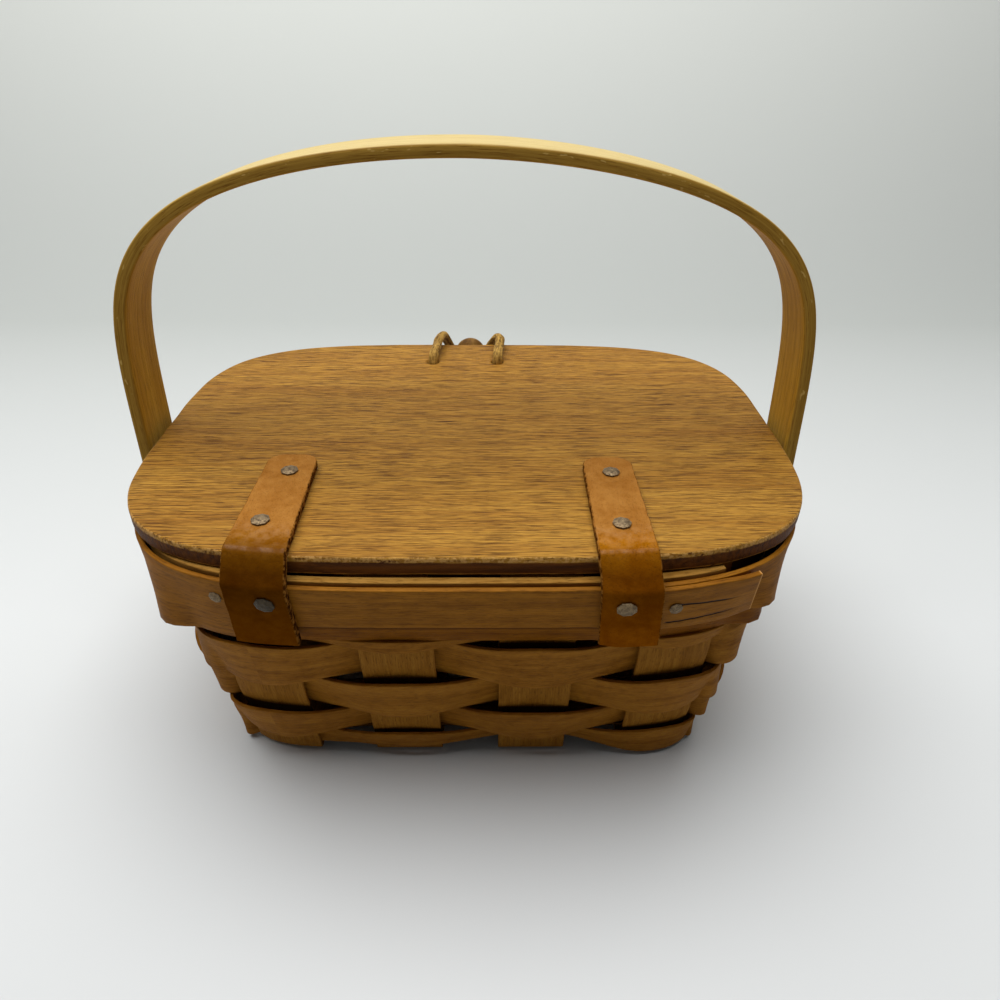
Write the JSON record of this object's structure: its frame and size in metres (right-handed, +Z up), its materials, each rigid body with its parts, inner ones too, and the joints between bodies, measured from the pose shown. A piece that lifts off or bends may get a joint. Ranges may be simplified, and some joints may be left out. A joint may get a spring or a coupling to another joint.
{
  "type": "lidded basket",
  "caption": "Woven wood-splint basket with a flat strap-hinged wooden lid, a bent-wood swing handle and a leather lace that loops over a turned knob.",
  "frame": {"origin": "on the surface that the basket stands on, midway along its length and midway between its furthest front and back points, the hinge straps' low ends and the knob's head", "axes": "+Z up; +X along the length, to the right when the hinge straps face the viewer; +Y from the hinge side to the side with the knob"},
  "size_m": [0.2452, 0.1976, 0.2027],
  "materials": {
    "lid_board": "clear satin stain over fine dark grain that runs along the length",
    "bent_handle": "satin, honey brown bent strip",
    "splint": "satin thin shaved splint, golden brown",
    "weaver": "satin thin shaved splint, golden brown",
    "rim_wood": "satin, straight grain along the band",
    "filler": "satin, paler edge grain",
    "turned_wood": "satin turned wood",
    "strap_leather": "oiled, smooth face with rough darker fibrous edges",
    "lace_leather": "dry golden lace, slightly fibrous",
    "grey_steel": "dull hammered grey"
  },
  "bodies": {
    "basket": {"cross_splint_1": "splint", "cross_splint_2": "splint", "cross_splint_3": "splint", "cross_splint_4": "splint", "long_splint_1": "splint", "long_splint_2": "splint", "long_splint_3": "splint", "weaver_1": "weaver", "weaver_2": "weaver", "weaver_3": "weaver", "weaver_4": "weaver", "weaver_5": "weaver", "under_band": "rim_wood", "inner_band": "rim_wood", "filler_strip": "filler", "outer_band": "rim_wood", "hinge_strap_left": "strap_leather", "hinge_strap_right": "strap_leather", "strap_rivet_left": "grey_steel", "strap_rivet_right": "grey_steel", "rim_tack_1": "grey_steel", "rim_tack_2": "grey_steel", "rim_tack_3": "grey_steel", "rim_tack_4": "grey_steel", "rim_tack_5": "grey_steel", "rim_tack_6": "grey_steel", "rim_tack_7": "grey_steel", "rim_tack_8": "grey_steel", "handle_spacer_left": "turned_wood", "handle_spacer_right": "turned_wood", "handle_rivet_left": "grey_steel", "handle_rivet_right": "grey_steel", "knob": "turned_wood", "knob_screw": "grey_steel"},
    "lid": {"lid": "lid_board", "lid_nail_left_upper": "grey_steel", "lid_nail_left_lower": "grey_steel", "lid_nail_right_upper": "grey_steel", "lid_nail_right_lower": "grey_steel", "closure_lace": "lace_leather", "lace_knot_left": "lace_leather", "lace_knot_right": "lace_leather"},
    "handle": {"handle": "bent_handle"}
  },
  "joints": [
    {"name": "lid_hinge", "type": "hinge", "parent": "basket", "child": "lid", "pos_m": [0, -0.09112, 0.102], "axis": [1, 0, 0], "range_deg": [0, 94], "deforming": ["hinge_strap_left", "hinge_strap_right", "closure_lace"]},
    {"name": "handle_swing", "type": "hinge", "parent": "basket", "child": "handle", "pos_m": [0, -0.00912, 0.0835], "axis": [1, 0, 0], "range_deg": [-115, 130]}
  ],
  "couplings": [
    {"joint": "handle_swing", "follows": "lid_hinge", "ratio": 1.38}
  ]
}
